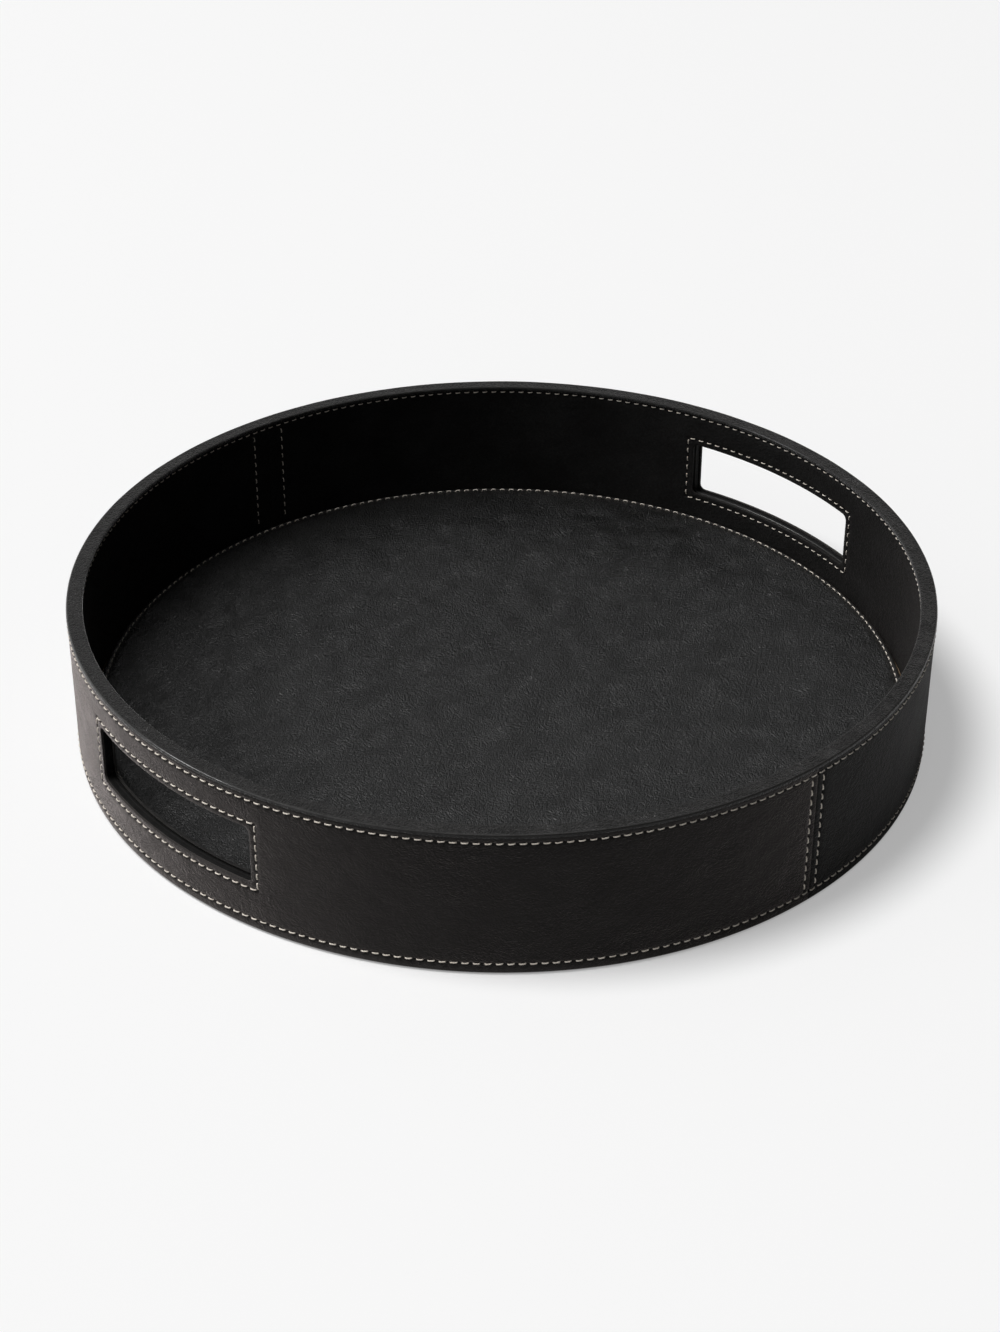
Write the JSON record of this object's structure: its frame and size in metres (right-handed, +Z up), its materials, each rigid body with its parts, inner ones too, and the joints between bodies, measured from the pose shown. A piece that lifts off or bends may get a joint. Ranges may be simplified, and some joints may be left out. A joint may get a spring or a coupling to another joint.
{
  "type": "serving tray",
  "caption": "Round deep serving tray in black leather over a bent hoop, with a slot handle cut through each side of the wall and contrast stitching along every edge.",
  "frame": {"origin": "centre of the underside, on the surface the tray stands on", "axes": "+Z up out of the tray; +X through the right handle slot and -X through the left one; the wall's seams lie near +Y and -Y"},
  "size_m": [0.401, 0.401, 0.072],
  "materials": {
    "wall_leather": "satin black leather with a fine pebble grain",
    "floor_leather": "satin black leather with a creased pebble grain",
    "rim_leather": "smooth black leather, polished by the roll",
    "thread": "waxed beige thread",
    "felt": "black felt",
    "board": "raw fibreboard, hidden",
    "hoop": "raw bent plywood, hidden",
    "stiffener": "grey fibre card, hidden"
  },
  "bodies": {
    "root": {"base_board": "board", "base_thread": "thread", "floor_panel": "floor_leather", "floor_stiffener": "stiffener", "floor_thread": "thread", "handle_lining_left": "rim_leather", "handle_lining_right": "rim_leather", "handle_thread_inner_left": "thread", "handle_thread_inner_right": "thread", "handle_thread_outer_left": "thread", "handle_thread_outer_right": "thread", "inner_panel_left": "wall_leather", "inner_panel_right": "wall_leather", "outer_panel_left": "wall_leather", "outer_panel_right": "wall_leather", "rim_binding": "rim_leather", "rim_thread_inner": "thread", "rim_thread_outer": "thread", "seam_thread_inner_back_a": "thread", "seam_thread_inner_back_b": "thread", "seam_thread_inner_front_a": "thread", "seam_thread_inner_front_b": "thread", "seam_thread_outer_back_a": "thread", "seam_thread_outer_back_b": "thread", "seam_thread_outer_front_a": "thread", "seam_thread_outer_front_b": "thread", "underside_cover": "felt", "wall_hoop": "hoop"}
  },
  "joints": []
}
